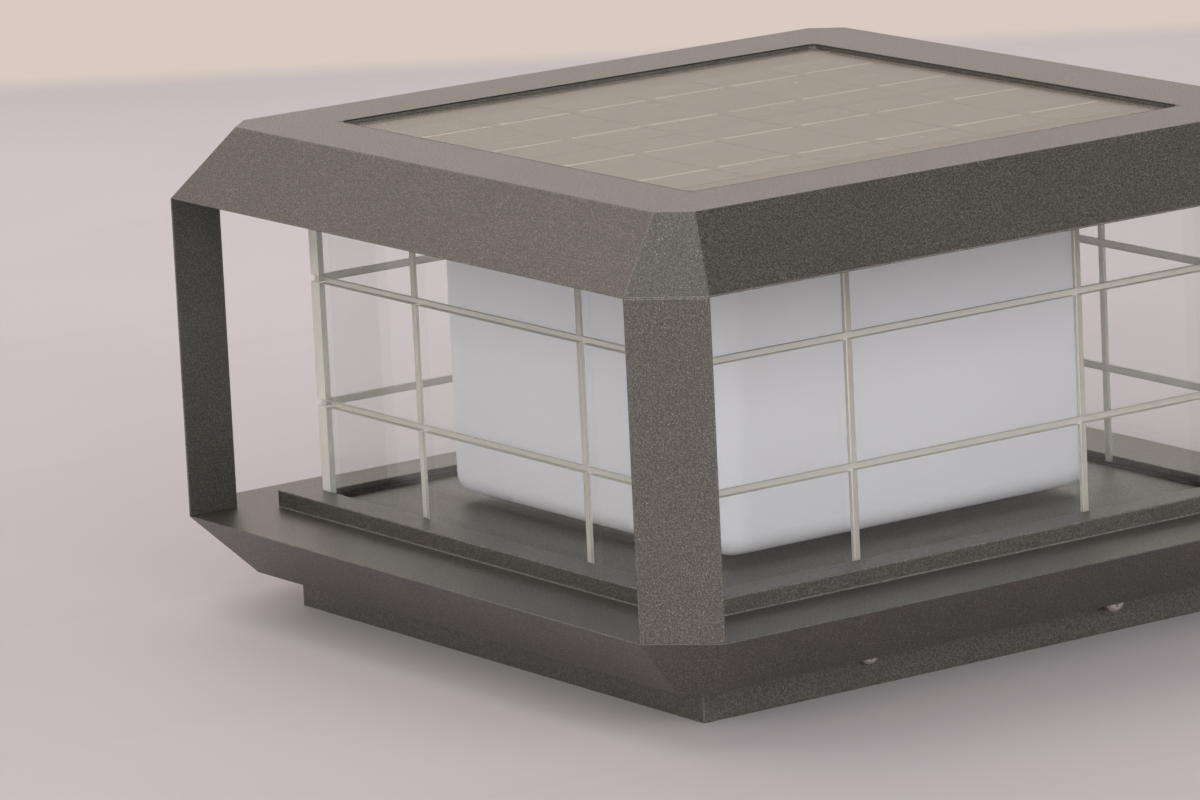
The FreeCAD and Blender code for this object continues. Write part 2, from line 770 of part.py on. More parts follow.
def diffuser(doc):
    """A deep moulded tray with rounded corners, hung by its lip."""
    shade = Piece(doc, "diffuser")
    floor = FLOOR + size("diffuser_gap")
    corner = size("diffuser_corner")
    shade.pad(floor, LIP_TOP - floor, rounded(DIFFUSER_HALF, DIFFUSER_HALF, corner))
    shade.round_edges(size("diffuser_edge"), level_edge(floor))
    lip = rounded(LIP_HALF, LIP_HALF, corner + size("lip_width"))
    shade.pad(LIP_LOW, size("lip_thickness"), lip)
    inner = DIFFUSER_HALF - size("diffuser_wall")
    inside = floor + size("diffuser_wall")
    hollow = rounded(inner, inner, corner - size("diffuser_wall"))
    shade.pocket(LIP_TOP, LIP_TOP - inside, hollow)
    inner_edge = lambda edge: level_edge(inside)(edge) and edge.BoundBox.ZLength < 1e-4
    shade.round_edges(size("diffuser_edge") - size("diffuser_wall"), inner_edge)
    shade.pocket(LIP_TOP, size("lip_thickness"), *chassis_screw_holes())
    return shade.body


def chassis_screw_holes():
    bore = size("small_screw_radius") + size("running_clearance")
    places = four_ways(size("chassis_screw_spread") / 2, CHASSIS_SCREW_LINE)
    return [circle(x, y, bore) for x, y in places]


def diffuser_gasket(doc):
    gasket = Piece(doc, "diffuser_gasket")
    corner = size("diffuser_corner")
    outer = rounded(LIP_HALF, LIP_HALF, corner + size("lip_width"))
    opening = DIFFUSER_HALF + size("opening_clearance")
    inner = rounded(opening, opening, corner + size("opening_clearance"))
    gasket.pad(PLATE_TOP, size("lip_gasket"), outer, inner)
    gasket.pocket(LIP_LOW, size("lip_gasket"), *chassis_screw_holes())
    return gasket.body


def chassis_plate(doc):
    """The aluminium plate that closes the diffuser and carries the control box."""
    plate = Piece(doc, "chassis_plate")
    corner = size("diffuser_corner") + size("lip_width")
    plate.pad(LIP_TOP, size("chassis_thickness"), rounded(LIP_HALF, LIP_HALF, corner))
    plate.pocket(CHASSIS_TOP, size("chassis_thickness"), *chassis_screw_holes())
    lead = size("solar_lead_place")
    hole = size("lead_hole_radius")
    switch_hole = circle(size("switch_lead_place"), DRIVER_CENTRE + size("lead_radius"), hole)
    plate.pocket(CHASSIS_TOP, size("chassis_thickness"), circle(lead, lead, hole), switch_hole)
    bore = size("small_screw_radius") + size("running_clearance")
    corners = control_corners()
    plate.pocket(CHASSIS_TOP, size("chassis_thickness"), *[circle(x, y, bore) for x, y in corners])
    return plate.body


def chassis_screws(doc):
    places = four_ways(size("chassis_screw_spread") / 2, CHASSIS_SCREW_LINE)
    return pan_screws(doc, "chassis_screws", places, SMALL_HEAD, PLATE_LOW, CHASSIS_TOP - PLATE_LOW)


# ---------------------------------------------------------------------------------------------
# Solar panel
# ---------------------------------------------------------------------------------------------


def solar_sheet(doc, label, level, thickness):
    sheet = Piece(doc, label)
    corner = size("solar_corner") - size("solar_clearance")
    sheet.pad(level, thickness, rounded(PANEL_HALF, PANEL_HALF, corner))
    return sheet.body


def solar_tape(doc):
    """The sealing tape ring that holds the panel down on the cap's pan."""
    tape = Piece(doc, "solar_tape")
    corner = size("solar_corner") - size("solar_clearance")
    inner = PANEL_HALF - size("tape_width")
    outlines = [rounded(PANEL_HALF, PANEL_HALF, corner), square(inner)]
    tape.pad(PAN_TOP, size("tape_thickness"), *outlines)
    return tape.body


def cell_corners():
    """The low corner of each solar cell's space, row by row."""
    for row in range(CELL_ROWS):
        for column in range(CELL_COLUMNS):
            x = CELL_LENGTH * (column - CELL_COLUMNS / 2)
            y = CELL_HEIGHT * (row - CELL_ROWS / 2)
            yield x, y


def solar_cells(doc):
    cells = []
    gap = size("cell_gap")
    extent = (CELL_LENGTH - gap, CELL_HEIGHT - gap, size("cell_thickness"))
    for x, y in cell_corners():
        cells.append(box(doc, "Cell", (x + gap / 2, y + gap / 2, CELL_LOW), extent))
    return grouped(doc, "solar_cells", cells)


def cell_ribbons(doc):
    """Two tinned ribbons on each cell, each stopping short of the cell's near edge."""
    ribbons = []
    width = size("ribbon_width")
    start = size("ribbon_start")
    length = CELL_LENGTH - size("cell_gap") - start
    for x, y in cell_corners():
        for side in (-1, 1):
            middle = y + CELL_HEIGHT / 2 + size("ribbon_pitch") / 2 * side
            corner = (x + size("cell_gap") / 2 + start, middle - width / 2, CELL_TOP)
            ribbons.append(box(doc, "Ribbon", corner, (length, width, size("ribbon_thickness"))))
    return grouped(doc, "cell_ribbons", ribbons)


# ---------------------------------------------------------------------------------------------
# Control box, batteries and boards
# ---------------------------------------------------------------------------------------------


def control_corners():
    """Where the control box's corner screws stand."""
    inset = size("control_wall") + size("small_head_radius")
    x = size("control_length") / 2 - inset
    y = size("control_width") / 2 - inset
    return [(x * sign_x, y * sign_y) for sign_x, sign_y in CORNER_SIGNS]


def driver_corners():
    inset = size("small_head_radius")
    x = size("driver_length") / 2 - inset
    y = (DRIVER_REAR - DRIVER_FRONT) / 2 - inset
    return [(x * a, DRIVER_CENTRE + y * b) for a, b in CORNER_SIGNS]


def control_box(doc):
    """An open moulded box with a screw boss in each corner and stand-offs for the driver."""
    case = Piece(doc, "control_box")
    half_x = size("control_length") / 2
    half_y = size("control_width") / 2
    wall = size("control_wall")
    radius = wall * 2
    case.pad(CONTROL_LOW, size("control_depth"), rounded(half_x, half_y, radius))
    hollow = rounded(half_x - wall, half_y - wall, radius - wall)
    case.pocket(LIP_TOP, size("control_depth") - wall, hollow)
    boss = size("small_head_radius") + size("running_clearance")
    corners = control_corners()
    height = LIP_TOP - CONTROL_FLOOR
    case.pad(CONTROL_FLOOR, height, *[circle(x, y, boss) for x, y in corners])
    bore = size("small_screw_radius") + size("running_clearance")
    depth = size("control_depth") / 3
    case.pocket(LIP_TOP, depth, *[circle(x, y, bore) for x, y in corners])
    posts = [circle(x, y, size("small_screw_radius") * 1.5) for x, y in driver_corners()]
    case.pad(CONTROL_FLOOR, size("standoff_height"), *posts)
    hole = circle(0, DRIVER_CENTRE, size("lead_radius") * 1.5)
    case.pocket(CONTROL_FLOOR, wall, hole)
    return case.body


def box_screws(doc):
    """Flat-headed screws that hold the control box up under the chassis plate."""
    screws = Piece(doc, "box_screws")
    corners = control_corners()
    length = size("control_depth") / 3 + size("chassis_thickness") - size("small_screw_radius")
    radius = size("small_screw_radius")
    screws.pad(CHASSIS_TOP - length, length, *[circle(x, y, radius) for x, y in corners])
    heads = [circle(x, y, size("small_head_radius")) for x, y in corners]
    screws.pad(CHASSIS_TOP, size("small_head_height"), *heads)
    return screws.body


def battery_holder(doc):
    """A moulded cradle with two round troughs that the batteries lie in."""
    wall = size("holder_wall")
    length = size("battery_length") + size("battery_clearance") * 2 + wall * 2
    corner = (-length / 2, HOLDER_FRONT, CONTROL_FLOOR)
    extent = (length, HOLDER_REAR - HOLDER_FRONT, size("holder_height"))
    block = box(doc, "CradleBlock", corner, extent)
    troughs = []
    for y in battery_lines():
        start = -size("battery_length") / 2 - size("battery_clearance")
        run = size("battery_length") + size("battery_clearance") * 2
        troughs.append(cylinder(doc, "Trough", (start, y, BATTERY_LEVEL), BATTERY_BORE, run, "X"))
    return cut(doc, "battery_holder", block, fused(doc, "Troughs", troughs))


def battery_lines():
    """Where the two batteries' axes lie, one wall's thickness between their troughs."""
    first = HOLDER_FRONT + size("holder_wall") + BATTERY_BORE
    return [first, first + BATTERY_BORE * 2 + size("holder_wall")]


def battery_cells(doc):
    cells = []
    for y in battery_lines():
        base = (-size("battery_length") / 2, y, BATTERY_LEVEL - size("battery_clearance"))
        cells.append(cylinder(doc, "Battery", base, size("battery_radius"), size("battery_length"), "X"))
    return grouped(doc, "battery_cells", cells)


def driver_board(doc):
    board = Piece(doc, "driver_board")
    half_x = size("driver_length") / 2
    outline = rectangle(-half_x, DRIVER_FRONT, half_x, DRIVER_REAR)
    board.pad(DRIVER_LOW, size("board_thickness"), outline)
    lead_hole = circle(0, DRIVER_CENTRE, size("lead_radius") * 1.5)
    board.pocket(DRIVER_TOP, size("board_thickness"), lead_hole)
    return board.body


def driver_parts(doc):
    """What stands on the driver board: plugs under the leads, a coil, a capacitor and a chip."""
    plug = size("lead_radius") * 4
    height = size("connector_height")
    middle = DRIVER_CENTRE
    solar_plug = (size("solar_lead_place"), size("solar_lead_place"))
    switch_plug = (size("switch_lead_place"), middle)
    parts = []
    for x, y in (solar_plug, switch_plug):
        parts.append(box(doc, "Plug", (x - plug / 2, y - plug / 2, DRIVER_TOP), (plug, plug, height)))
    parts.append(box(doc, "Coil", (plug, middle - plug / 2, DRIVER_TOP), (plug, plug, height / 2)))
    chip_corner = (-plug * 2, middle - plug / 2, DRIVER_TOP)
    parts.append(box(doc, "Chip", chip_corner, (plug, plug, size("board_thickness"))))
    can = (size("driver_length") / 2 - plug, middle, DRIVER_TOP)
    parts.append(cylinder(doc, "Capacitor", can, plug / 2, height * 1.5))
    return grouped(doc, "driver_parts", parts)


def led_board(doc):
    board = Piece(doc, "led_board")
    half_x = size("control_length") / 2 - size("led_board_inset")
    half_y = size("control_width") / 2 - size("led_board_inset")
    board.pad(LED_BOARD_LOW, size("board_thickness"), rectangle(-half_x, -half_y, half_x, half_y))
    return board.body


def led_chips(doc):
    """Rows of emitters under the board, facing down into the diffuser."""
    chips = []
    extent = (size("led_length"), size("led_width"), size("led_height"))
    level = LED_BOARD_LOW - size("led_height")
    for column in range(LED_COLUMNS):
        for row in range(LED_ROWS):
            x = size("led_pitch") * (column - (LED_COLUMNS - 1) / 2) - size("led_length") / 2
            y = size("led_pitch") * (row - (LED_ROWS - 1) / 2) - size("led_width") / 2
            chips.append(box(doc, "Led", (x, y, level), extent))
    return grouped(doc, "led_chips", chips)


# ---------------------------------------------------------------------------------------------
# Leads and the push switch
# ---------------------------------------------------------------------------------------------


def bent_path(points, bend):
    """Straight runs joined by tangent arcs, each no larger than its shorter run allows."""
    edges = []
    start = points[0]
    for before, corner, after in zip(points, points[1:], points[2:]):
        arrive = (before - corner).normalize()
        leave = (after - corner).normalize()
        half_turn = (math.pi - arrive.getAngle(leave)) / 2
        shorter = min((before - corner).Length, (after - corner).Length)
        radius = min(bend, 0.45 * shorter / math.tan(half_turn))
        reach = radius * math.tan(half_turn)
        first = corner + arrive * reach
        last = corner + leave * reach
        depth = radius / math.cos(half_turn) - radius
        middle = corner + (arrive + leave).normalize() * depth
        edges.append(Part.LineSegment(start, first).toShape())
        edges.append(Part.Arc(first, middle, last).toShape())
        start = last
    edges.append(Part.LineSegment(start, points[-1]).toShape())
    return Part.Wire(edges)


def lead(doc, label, places):
    """A round lead along a route of bound places."""
    points = [Vector(*[Size.of(c).value for c in spot]) for spot in places]
    radius = SIZES["lead_radius"]
    if len(points) > 2:
        path = bent_path(points, SIZES["lead_bend"])
    else:
        path = Part.Wire([Part.LineSegment(*points).toShape()])
    heading = points[1] - points[0]
    ring = Part.Wire([Part.makeCircle(radius, points[0], heading)])
    tube = path.makePipeShell([ring], True, False)
    item = doc.addObject("Part::Feature", label)
    item.Label = label
    item.Shape = tube
    item.Placement = Placement()
    return item


def solar_lead(doc):
    x = size("solar_lead_place")
    return lead(doc, "solar_lead", [(x, x, BACKSHEET_LOW), (x, x, CONNECTOR_TOP)])


def switch_lead(doc):
    """From the switch along the space over the chassis plate, then down to its plug."""
    x = size("switch_lead_place")
    y = DRIVER_CENTRE
    start = SWITCH_PLACE - size("switch_radius")
    run = start - y
    places = [(ZERO, start, LEAD_LEVEL)]
    places.append((ZERO, start - run * 0.25, LEAD_LEVEL))
    places.append((x * 0.8, start - run * 0.62, LEAD_LEVEL))
    places.append((x, y, LEAD_LEVEL))
    places.append((x, y, CONNECTOR_TOP))
    return lead(doc, "switch_lead", places)


def led_lead(doc):
    y = DRIVER_CENTRE
    return lead(doc, "led_lead", [(ZERO, y, DRIVER_TOP), (ZERO, y, CONTROL_LOW)])


def lead_grommets(doc):
    """Rubber rings round the solar lead, in the pan and in the chassis plate."""
    grommets = Piece(doc, "lead_grommets")
    lead_at = size("solar_lead_place")
    hole = size("lead_hole_radius")
    inner = circle(lead_at, lead_at, size("lead_radius") + size("running_clearance"))
    for low, thickness in ((PAN_LOW, size("pan_thickness")), (LIP_TOP, size("chassis_thickness"))):
        grommets.pad(low, thickness, circle(lead_at, lead_at, hole), inner)
    for low in (PAN_LOW - size("grommet_lip"), CHASSIS_TOP):
        rim = circle(lead_at, lead_at, hole + size("grommet_lip"))
        grommets.pad(low, size("grommet_lip"), rim, inner)
    return grommets.body


def switch_housing(doc):
    """The switch's bezel and threaded barrel, with the well that its button slides in."""
    housing = Piece(doc, "switch_housing")
    y = SWITCH_PLACE
    housing.pad(SWITCH_FACE, size("bezel_height"), circle(0, y, size("bezel_radius")))
    housing.pad(PLATE_LOW, size("switch_length"), circle(0, y, size("switch_radius")))
    well = size("button_radius") + size("running_clearance")
    depth = size("button_seat") + size("button_travel")
    housing.pocket(SWITCH_FACE + depth, depth, circle(0, y, well))
    return housing.body


def switch_nut(doc):
    nut = Piece(doc, "switch_nut")
    y = SWITCH_PLACE
    side = size("switch_nut_across") / 2
    point = side * (2 / math.sqrt(3))
    corners = [(point, y), (point / 2, y + side), (-point / 2, y + side)]
    corners += [(-point, y), (-point / 2, y - side), (point / 2, y - side)]
    barrel = circle(0, y, size("switch_radius") + size("running_clearance"))
    nut.pad(PLATE_TOP, size("switch_nut_height"), ("polygon", corners), barrel)
    return nut.body


def switch_button(doc):
    button = Piece(doc, "switch_button")
    y = SWITCH_PLACE
    length = size("button_show") + size("button_seat")
    button.pad(SWITCH_FACE - size("button_show"), length, circle(0, y, size("button_radius")))
    face = SWITCH_FACE - size("button_show")
    button.round_edges(size("button_show") * 0.3, level_edge(face), kind="Chamfer")
    return button.body


# ---------------------------------------------------------------------------------------------


def build(doc):
    """Makes every sub-part, from the foot upwards."""
    parts = [base_tray(doc), mounting_collar(doc), flange_screws(doc)]
    number = 0
    for facing in (-1, 1):
        for side in (-1, 1):
            number += 1
            backed_out = size("clamp_backed_out") if (facing, side) == (-1, 1) else ZERO
            parts.append(clamp_insert(doc, f"clamp_insert_{number}", side, facing))
            parts.append(clamp_screw(doc, f"clamp_screw_{number}", side, facing, backed_out))
    for number in range(4):
        parts.append(corner_post(doc, f"corner_post_{number + 1}", 90 * number))
    parts += [top_cap(doc), cap_plate(doc), plate_screws(doc)]
    parts.append(box_gasket(doc, "box_gasket_lower", FLOOR))
    parts.append(box_gasket(doc, "box_gasket_upper", BOX_HEAD))
    short_half = BOX_HALF - size("panel_thickness") - size("panel_joint_gap")
    for label, half, degrees in (
        ("clear_panel_front", BOX_HALF, 0),
        ("clear_panel_right", short_half, 90),
        ("clear_panel_rear", BOX_HALF, 180),
        ("clear_panel_left", short_half, 270),
    ):
        parts.append(clear_panel(doc, label, half, degrees))
    parts += [diffuser(doc), diffuser_gasket(doc), chassis_plate(doc), chassis_screws(doc)]
    parts.append(solar_tape(doc))
    parts.append(solar_sheet(doc, "solar_backsheet", BACKSHEET_LOW, size("backsheet_thickness")))
    parts += [solar_cells(doc), cell_ribbons(doc)]
    parts.append(solar_sheet(doc, "solar_glass", GLASS_LOW, size("glass_thickness")))
    parts += [control_box(doc), box_screws(doc), battery_holder(doc), battery_cells(doc)]
    parts += [driver_board(doc), driver_parts(doc), led_board(doc), led_chips(doc)]
    parts += [solar_lead(doc), switch_lead(doc), led_lead(doc), lead_grommets(doc)]
    parts += [switch_housing(doc), switch_nut(doc), switch_button(doc)]
    return parts


def check(doc, parts):
    for item in doc.Objects:
        assert not {"Invalid", "Error"} & set(item.State), f"{item.Label} failed: {item.State}"
    for part in parts:
        assert not part.Shape.isNull() and part.Shape.isValid(), f"{part.Label} has no valid shape"


def main():
    doc = FreeCAD.newDocument("PostCapLight")
    make_sheet(doc)
    parts = build(doc)
    doc.recompute()
    check(doc, parts)
    os.makedirs("parts", exist_ok=True)
    for part in parts:
        part.Shape.exportStep(os.path.join("parts", f"{part.Label}.step"))
        extent = part.Shape.BoundBox
        solids = len(part.Shape.Solids)
        print(f"{part.Label:20s} solids {solids:3d}  z {extent.ZMin:7.2f} to {extent.ZMax:7.2f}")


main()
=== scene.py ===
import math

import bmesh
import bpy
from mathutils import Matrix, Vector


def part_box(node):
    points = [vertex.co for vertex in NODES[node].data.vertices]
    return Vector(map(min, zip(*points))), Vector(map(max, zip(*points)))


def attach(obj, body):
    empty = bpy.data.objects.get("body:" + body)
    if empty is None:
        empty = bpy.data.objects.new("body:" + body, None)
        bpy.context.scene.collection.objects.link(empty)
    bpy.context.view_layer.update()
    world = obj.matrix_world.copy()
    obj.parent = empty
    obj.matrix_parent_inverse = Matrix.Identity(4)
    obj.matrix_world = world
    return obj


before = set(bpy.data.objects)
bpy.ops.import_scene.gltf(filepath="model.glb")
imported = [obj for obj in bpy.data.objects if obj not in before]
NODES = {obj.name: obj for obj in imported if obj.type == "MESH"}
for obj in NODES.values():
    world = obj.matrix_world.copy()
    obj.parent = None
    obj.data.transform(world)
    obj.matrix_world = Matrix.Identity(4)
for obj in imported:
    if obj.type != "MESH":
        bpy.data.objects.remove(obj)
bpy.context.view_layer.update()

MM = 0.001

# Room round the solar glass in its recess, and the width of the darker band of painted shade along
# the recess's edge
GLASS_GAP = 0.7 * MM
PAINTED_SHADE_WIDTH = 1.1 * MM
# Distance between a clear panel's level grooves, and half a groove's width
GROOVE_PITCH = 43.0 * MM
GROOVE_ARM = 1.2 * MM
# Distance between the printed fingers of a solar cell
FINGER_PITCH = 1.6 * MM
ACRYLIC_IOR = 1.49
GLASS_IOR = 1.5

# ---------------------------------------------------------------------------------------------
# Node-tree helpers
# ---------------------------------------------------------------------------------------------


def srgb(red, green, blue):
    """A colour given in 0 to 255 display values, as the linear numbers a shader takes."""
    linear = []
    for level in (red / 255, green / 255, blue / 255):
        linear.append(level / 12.92 if level <= 0.04045 else ((level + 0.055) / 1.055) ** 2.4)
    return (*linear, 1.0)


def scaled(tone, factor):
    """The colour made darker or lighter by a factor."""
    return tuple(min(1.0, channel * factor) for channel in tone[:3]) + (1.0,)


class Tree:
    """The node tree of a material or world, with short calls for the nodes used here."""

    def __init__(self, owner, output="ShaderNodeOutputMaterial", space="Object"):
        owner.use_nodes = True
        self.owner = owner
        self.nodes = owner.node_tree.nodes
        self.links = owner.node_tree.links
        self.nodes.clear()
        self.output = self.nodes.new(output)
        self.coordinate = self.nodes.new("ShaderNodeTexCoord").outputs[space]

    @classmethod
    def material(cls, name):
        return cls(bpy.data.materials.new(name))

    def put(self, socket, value):
        if isinstance(value, bpy.types.NodeSocket):
            self.links.new(value, socket)
        else:
            socket.default_value = value

    def node(self, kind, inputs=None, **settings):
        node = self.nodes.new(kind)
        for key, value in settings.items():
            setattr(node, key, value)
        for key, value in (inputs or {}).items():
            self.put(node.inputs[key], value)
        return node

    def noise(self, scale, detail=2.0, roughness=0.5, vector=None):
        inputs = {"Vector": vector or self.coordinate, "Scale": scale}
        inputs.update({"Detail": detail, "Roughness": roughness})
        return self.node("ShaderNodeTexNoise", inputs).outputs["Fac"]

    def cells(self, scale):
        return self.node("ShaderNodeTexVoronoi", {"Vector": self.coordinate, "Scale": scale})

    def stretched(self, x, y, z):
        """The object's coordinates scaled unevenly, for grain that runs one way."""
        inputs = {"Vector": self.coordinate, "Scale": (x, y, z)}
        return self.node("ShaderNodeMapping", inputs).outputs["Vector"]

    def span(self, value, low, high, out_low=0.0, out_high=1.0, curve="LINEAR"):
        """The value's range low to high mapped to the output range and clamped."""
        names = ("Value", "From Min", "From Max", "To Min", "To Max")
        node = self.node("ShaderNodeMapRange", interpolation_type=curve)
        for name, number in zip(names, (value, low, high, out_low, out_high)):
            self.put(node.inputs[name], number)
        return node.outputs["Result"]

    def math(self, operation, first, second=0.0):
        node = self.node("ShaderNodeMath", operation=operation)
        self.put(node.inputs[0], first)
        self.put(node.inputs[1], second)
        return node.outputs[0]

    def dot(self, first, second):
        node = self.node("ShaderNodeVectorMath", operation="DOT_PRODUCT")
        self.put(node.inputs[0], first)
        self.put(node.inputs[1], second)
        return node.outputs["Value"]

    def mix(self, factor, first, second):
        node = self.node("ShaderNodeMix", data_type="RGBA")
        self.put(node.inputs[0], factor)
        self.put(node.inputs[6], first)
        self.put(node.inputs[7], second)
        return node.outputs[2]

    def axes(self, vector=None):
        return self.node("ShaderNodeSeparateXYZ", {"Vector": vector or self.coordinate}).outputs

    def distance(self, axis):
        """How far a point is from the object's middle plane across one axis."""
        return self.math("ABSOLUTE", self.axes()[axis])

    def bump(self, height, strength, distance, normal=None):
        inputs = {"Height": height, "Strength": strength, "Distance": distance}
        if normal is not None:
            inputs["Normal"] = normal
        return self.node("ShaderNodeBump", inputs).outputs["Normal"]

    def soft_edge(self, radius):
        return self.node("ShaderNodeBevel", {"Radius": radius}, samples=6).outputs["Normal"]

    def edge_mask(self, soft):
        """Rises from 0 on a flat face to 1 where the softened normal turns away from it."""
        true_normal = self.node("ShaderNodeNewGeometry").outputs["Normal"]
        return self.span(self.dot(soft, true_normal), 0.995, 0.93)

    def principled(self, **inputs):
        shader = self.node("ShaderNodeBsdfPrincipled")
        for name, value in inputs.items():
            self.put(shader.inputs[name.replace("_", " ")], value)
        return shader.outputs["BSDF"]

    def blend_shaders(self, factor, first, second):
        node = self.node("ShaderNodeMixShader")
        self.put(node.inputs[0], factor)
        self.links.new(first, node.inputs[1])
        self.links.new(second, node.inputs[2])
        return node.outputs[0]

    def clear(self, tint=(1.0, 1.0, 1.0, 1.0)):
        return self.node("ShaderNodeBsdfTransparent", {"Color": tint}).outputs[0]

    def lets_light_by(self, shader, tint):
        """The shader as it looks, but tinted and clear for the light that falls through it."""
        shadow = self.node("ShaderNodeLightPath").outputs["Is Shadow Ray"]
        return self.blend_shaders(shadow, shader, self.clear(tint))

    def done(self, shader):
        self.links.new(shader, self.output.inputs["Surface"])
        return self.owner


# ---------------------------------------------------------------------------------------------
# Materials
# ---------------------------------------------------------------------------------------------


def painted_lip_shade_mask(tree):
    """Picks out a narrow band of the cap's top round the solar recess, where shade is painted."""
    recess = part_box("solar_glass")[1].x + GLASS_GAP
    reach = tree.math("MAXIMUM", tree.distance(0), tree.distance(1))
    near = tree.span(reach, recess + PAINTED_SHADE_WIDTH, recess + 0.7 * PAINTED_SHADE_WIDTH)
    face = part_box("top_cap")[1].z
    top = tree.span(tree.axes()[2], face - 0.6 * MM, face - 0.3 * MM)
    return tree.math("MULTIPLY", near, top)


def powder_coat(name, dark, light, speck, lip=False):
    """Fine-textured metallic powder coat: grainy, with sparse bright flakes and softened edges."""
    tree = Tree.material(name)
    grain = tree.noise(1700, 2.0, 0.6)
    patch = tree.noise(38, 3.0)
    colour = tree.mix(tree.span(grain, 0.42, 0.62), dark, light)
    colour = tree.mix(tree.span(patch, 0.3, 0.7, 0.0, 0.25), colour, dark)
    flakes = tree.cells(1050)
    near = tree.span(flakes.outputs["Distance"], 0.20, 0.10)
    chosen = tree.span(tree.axes(flakes.outputs["Color"])[0], 0.72, 0.76)
    flake = tree.math("MULTIPLY", near, chosen)
    colour = tree.mix(tree.math("MULTIPLY", flake, 0.75), colour, speck)
    soft = tree.soft_edge(0.9 * MM)
    # Painted highlight and wear: convex edges are lightened toward the speck colour, partly as rubbed
    # coat and partly standing in for the highlight on the rounded edges.
    rubbed_and_highlit = tree.span(tree.noise(1300), 0.30, 0.65, 0.0, 0.16)
    colour = tree.mix(tree.math("MULTIPLY", tree.edge_mask(soft), rubbed_and_highlit), colour, speck)
    shine = srgb(255, 250, 243)
    if lip:
        # Painted shade: the band round the solar recess gets the dark tone and a dimmer reflection
        # tint.
        mask = painted_lip_shade_mask(tree)
        colour = tree.mix(mask, colour, dark)
        shine = tree.mix(mask, shine, srgb(110, 108, 105))
    normal = tree.bump(grain, 0.8, 0.00016, soft)
    roughness = tree.span(grain, 0.3, 0.7, 0.45, 0.34)
    roughness = tree.math("SUBTRACT", roughness, tree.math("MULTIPLY", flake, 0.15))
    coat = tree.principled(
        Base_Color=colour,
        Roughness=roughness,
        Metallic=tree.math("MULTIPLY", flake, 0.7),
        Specular_IOR_Level=1.0,
        IOR=1.6,
        Specular_Tint=shine,
        Normal=normal,
    )
    return tree.done(coat)


def plain_metal(name, tone, roughness, streak=None, radius=0.3, metallic=1.0):
    """Bare or plated metal with fine scratches and slight tarnish."""
    tree = Tree.material(name)
    scratches = tree.noise(900, 4.0, 0.6, tree.stretched(*(streak or (1.0, 1.0, 1.0))))
    tarnish = tree.noise(140, 3.0)
    colour = tree.mix(tree.span(tarnish, 0.4, 0.75, 0.0, 0.7), tone, scaled(tone, 0.62))
    rough = tree.span(scratches, 0.3, 0.7, roughness * 0.75, roughness * 1.3)
    normal = tree.bump(scratches, 0.12, 0.0001, tree.soft_edge(radius * MM))
    return tree.done(
        tree.principled(Base_Color=colour, Metallic=metallic, Roughness=rough, Normal=normal)
    )


def moulded(name, tone, roughness, grain=1500, depth=0.12, radius=0.4):
    """Moulded plastic or rubber with a fine spark-eroded skin."""
    tree = Tree.material(name)
    skin = tree.noise(grain, 2.0)
    cloud = tree.noise(55, 2.0)
    colour = tree.mix(tree.span(cloud, 0.3, 0.7), tone, scaled(tone, 0.86))
    rough = tree.span(skin, 0.3, 0.7, roughness * 1.15, roughness * 0.85)
    normal = tree.bump(skin, depth, 0.0001, tree.soft_edge(radius * MM))
    return tree.done(tree.principled(Base_Color=colour, Roughness=rough, Normal=normal))


def milk_diffuser():
    """Opal plastic: soft, faintly blue, a little glossy."""
    tree = Tree.material("milk_diffuser")
    cloud = tree.noise(9, 2.0)
    skin = tree.noise(700, 2.0)
    colour = tree.mix(tree.span(cloud, 0.3, 0.7), srgb(244, 242, 248), srgb(240, 238, 245))
    rough = tree.span(skin, 0.3, 0.7, 0.30, 0.38)
    normal = tree.bump(skin, 0.03, 0.0001)
    return tree.done(tree.principled(Base_Color=colour, Roughness=rough, Normal=normal))


def painted_groove_shade_mask(tree, middle):
    """Rises to 1 at the height of a panel's level grooves, where shade is painted."""
    from_middle = tree.math("ABSOLUTE", tree.math("SUBTRACT", tree.axes()[2], middle))
    from_groove = tree.math("ABSOLUTE", tree.math("SUBTRACT", from_middle, GROOVE_PITCH / 2))
    return tree.span(from_groove, 1.15 * GROOVE_ARM, 1.02 * GROOVE_ARM)


def clear_acrylic(name, axis):
    """Polished acrylic whose grooves and sawn edges are ground to a satin frost."""
    tree = Tree.material(name)
    low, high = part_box("clear_panel_right" if axis == 0 else "clear_panel_rear")
    depth = tree.distance(axis)
    below_outer = tree.span(depth, high[axis] - 0.04 * MM, high[axis] - 0.08 * MM)
    above_inner = tree.span(depth, low[axis] + 0.04 * MM, low[axis] + 0.08 * MM)
    frost = tree.math("MULTIPLY", below_outer, above_inner)
    grind = tree.noise(2600, 2.0)
    colour = tree.mix(tree.span(grind, 0.35, 0.65), srgb(240, 237, 229), srgb(226, 222, 213))
    # Painted shade: the frost in the level grooves is mixed toward a darker grey.
    level = painted_groove_shade_mask(tree, (low.z + high.z) / 2)
    colour = tree.mix(level, colour, tree.mix(0.4, colour, srgb(150, 146, 138)))
    ground = tree.principled(
        Base_Color=colour,
        Roughness=0.55,
        Transmission_Weight=0.3,
        IOR=ACRYLIC_IOR,
        Normal=tree.bump(grind, 0.4, 0.0001),
    )
    smear = tree.noise(24, 4.0)
    polished = tree.principled(
        Base_Color=srgb(253, 255, 254),
        Roughness=tree.span(smear, 0.5, 0.8, 0.0, 0.012),
        Transmission_Weight=1.0,
        IOR=ACRYLIC_IOR,
    )
    polished = tree.lets_light_by(polished, (0.95, 0.96, 0.96, 1.0))
    ground = tree.lets_light_by(ground, (0.7, 0.7, 0.69, 1.0))
    return tree.done(tree.blend_shaders(frost, polished, ground))


